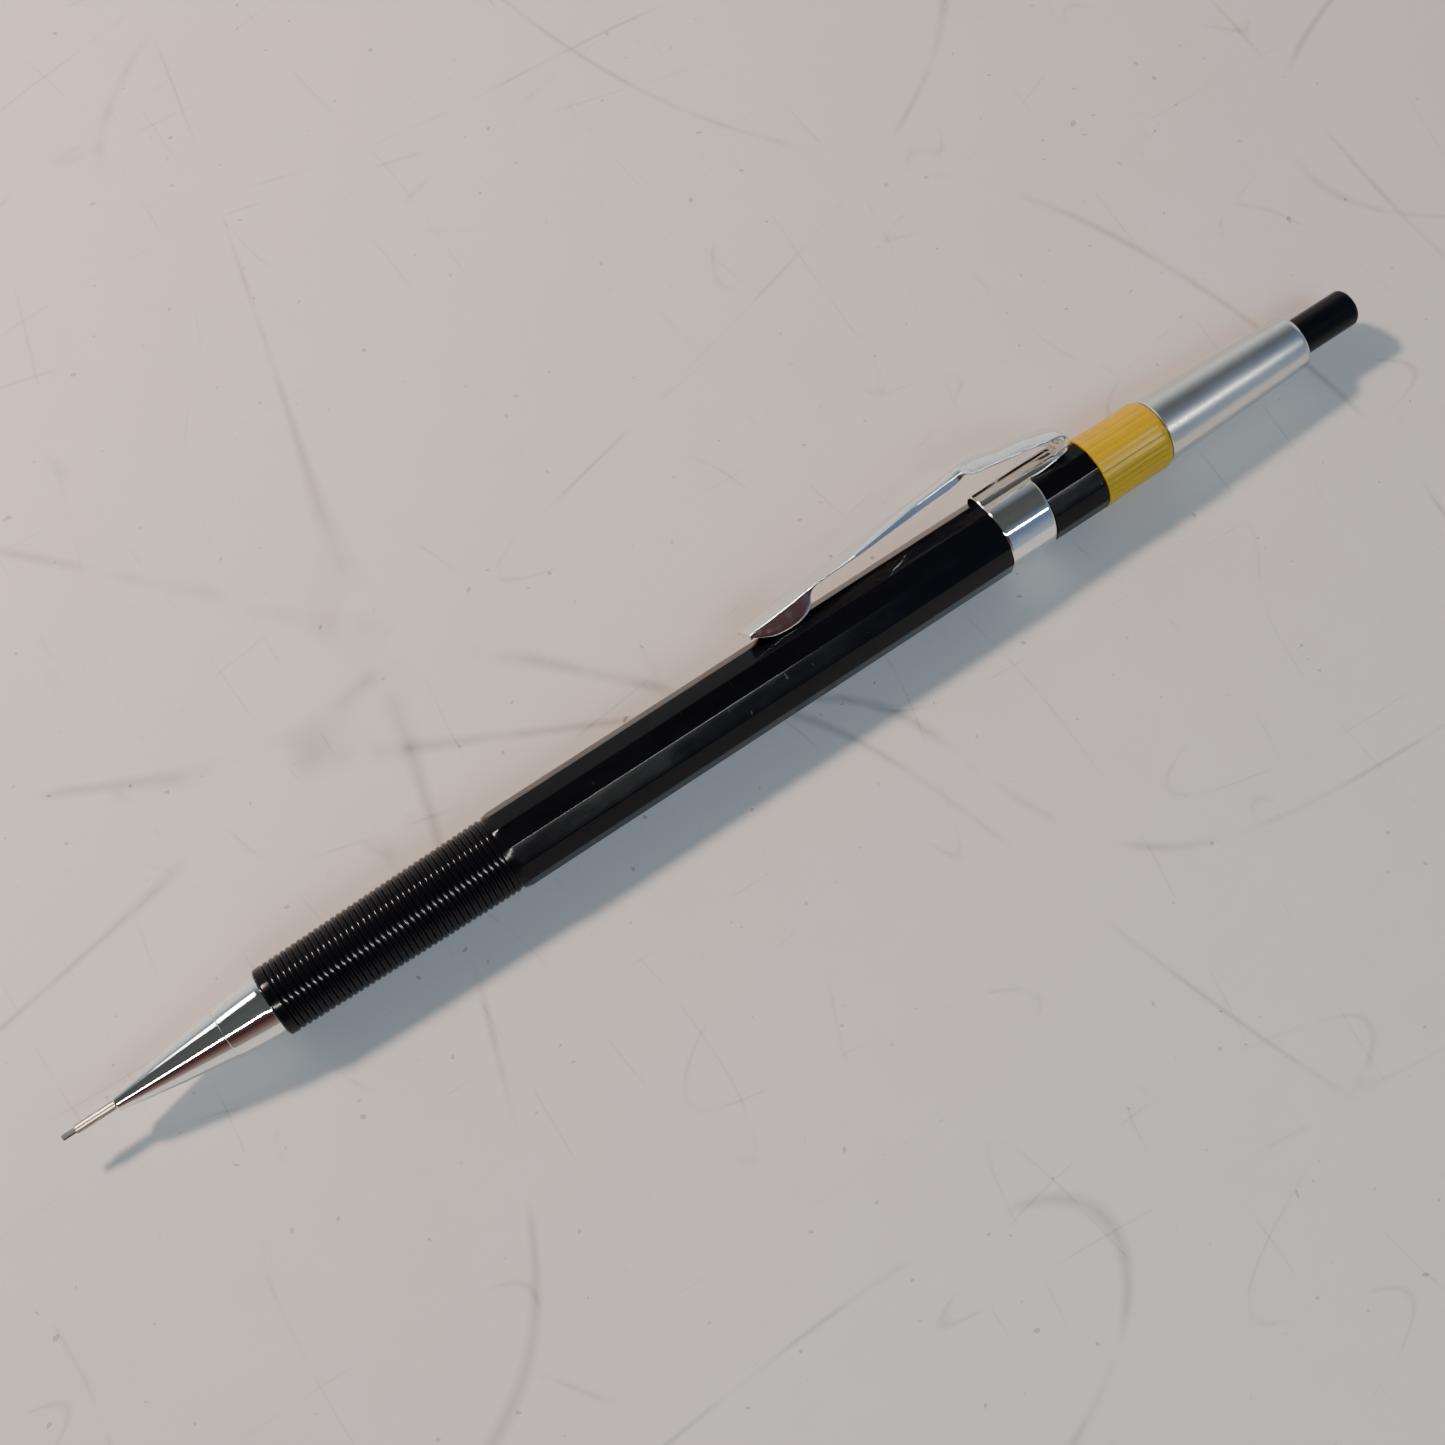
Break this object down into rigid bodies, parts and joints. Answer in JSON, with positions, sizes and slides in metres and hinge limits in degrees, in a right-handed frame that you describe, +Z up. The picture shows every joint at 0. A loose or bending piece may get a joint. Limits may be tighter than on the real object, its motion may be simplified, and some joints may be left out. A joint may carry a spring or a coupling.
{
  "type": "mechanical pencil",
  "caption": "Drafting pencil with a stepped chromed nose, ring-ribbed grip, twelve-sided barrel, folded sheet pocket clip, fluted colour ring, tapered tail tube and sprung push button.",
  "frame": {"origin": "middle of the barrel flat that the pencil rests on", "axes": "+X along the pencil from the writing tip to the push button, +Z up from the surface it lies on, the pocket clip on the +Y side and 30 degrees above level"},
  "size_m": [0.1475, 0.0111, 0.0093],
  "materials": {
    "black_barrel": "injection moulded, glossy, black",
    "chromed_nose": "bright chromium plate on turned brass",
    "sleeve_steel": "drawn stainless pipe, slightly dull",
    "retainer_rubber": "soft black rubber",
    "mechanism_brass": "turned brass",
    "chuck_brass": "turned and slit brass",
    "spring_steel": "spring wire",
    "tube_plastic": "translucent natural plastic",
    "pencil_lead": "graphite polymer lead",
    "yellow_ring": "mustard yellow moulded plastic, fine flutes",
    "satin_tail": "turned and satin anodised",
    "black_button": "glossy black moulded plastic",
    "white_eraser": "soft white vinyl",
    "chromed_clip": "bright chromium plate on spring sheet"
  },
  "bodies": {
    "root": {"barrel": "black_barrel", "mechanism_sleeve": "mechanism_brass", "clip_band": "chromed_clip", "size_ring": "yellow_ring", "tail_tube": "satin_tail"},
    "nose": {"nose_cone": "chromed_nose", "guide_sleeve": "sleeve_steel", "lead_retainer": "retainer_rubber"},
    "plunger": {"lead_tube": "tube_plastic", "chuck_stem": "chuck_brass", "spare_leads": "pencil_lead", "eraser": "white_eraser", "cleaning_pin": "spring_steel", "return_spring": "spring_steel"},
    "button": {"push_button": "black_button"},
    "clutch": {"clutch_ring": "mechanism_brass"},
    "lead": {"writing_lead": "pencil_lead"},
    "jaw_1": {"chuck_jaw_1": "chuck_brass"},
    "jaw_2": {"chuck_jaw_2": "chuck_brass"},
    "jaw_3": {"chuck_jaw_3": "chuck_brass"},
    "clip_arm": {"clip_arm": "chromed_clip"}
  },
  "joints": [
    {"name": "button_press", "type": "slide", "parent": "root", "child": "plunger", "axis": [-1, 0, 0], "range_m": [0, 0.0032], "stiffness_N_per_m": 350, "springref_m": -0.001, "deforming": ["return_spring"]},
    {"name": "button_pull", "type": "slide", "parent": "plunger", "child": "button", "axis": [1, 0, 0], "range_m": [0, 0.016]},
    {"name": "nose_unscrew", "type": "slide", "parent": "root", "child": "nose", "axis": [-1, 0, 0], "range_m": [0, 0.034]},
    {"name": "clutch_advance", "type": "slide", "parent": "root", "child": "clutch", "axis": [-1, 0, 0], "range_m": [0, 0.001]},
    {"name": "lead_advance", "type": "slide", "parent": "root", "child": "lead", "axis": [-1, 0, 0], "range_m": [0, 0.001]},
    {"name": "clip_flex", "type": "hinge", "parent": "root", "child": "clip_arm", "pos_m": [0.038, 0.00294, 0.00556], "axis": [0, 0.5, -0.866], "range_deg": [0, 3.5], "stiffness_Nm_per_rad": 1.2, "springref_deg": -1.15},
    {"name": "jaw_1_open", "type": "hinge", "parent": "plunger", "child": "jaw_1", "pos_m": [-0.0449, 0.00087, 0.00436], "axis": [0, 0.5, -0.866], "range_deg": [0, 1.5]},
    {"name": "jaw_2_open", "type": "hinge", "parent": "plunger", "child": "jaw_2", "pos_m": [-0.0449, -0.00087, 0.00436], "axis": [0, 0.5, 0.866], "range_deg": [0, 1.5]},
    {"name": "jaw_3_open", "type": "hinge", "parent": "plunger", "child": "jaw_3", "pos_m": [-0.0449, 0, 0.00286], "axis": [0, -1, 0], "range_deg": [0, 1.5]}
  ],
  "couplings": [
    {"joint": "clutch_advance", "follows": "button_press", "ratio": 0.3125},
    {"joint": "lead_advance", "follows": "button_press", "ratio": 0.3125},
    {"joint": "jaw_1_open", "follows": "button_press", "rad_per_m": 8.1804},
    {"joint": "jaw_2_open", "follows": "button_press", "rad_per_m": 8.1804},
    {"joint": "jaw_3_open", "follows": "button_press", "rad_per_m": 8.1804}
  ]
}
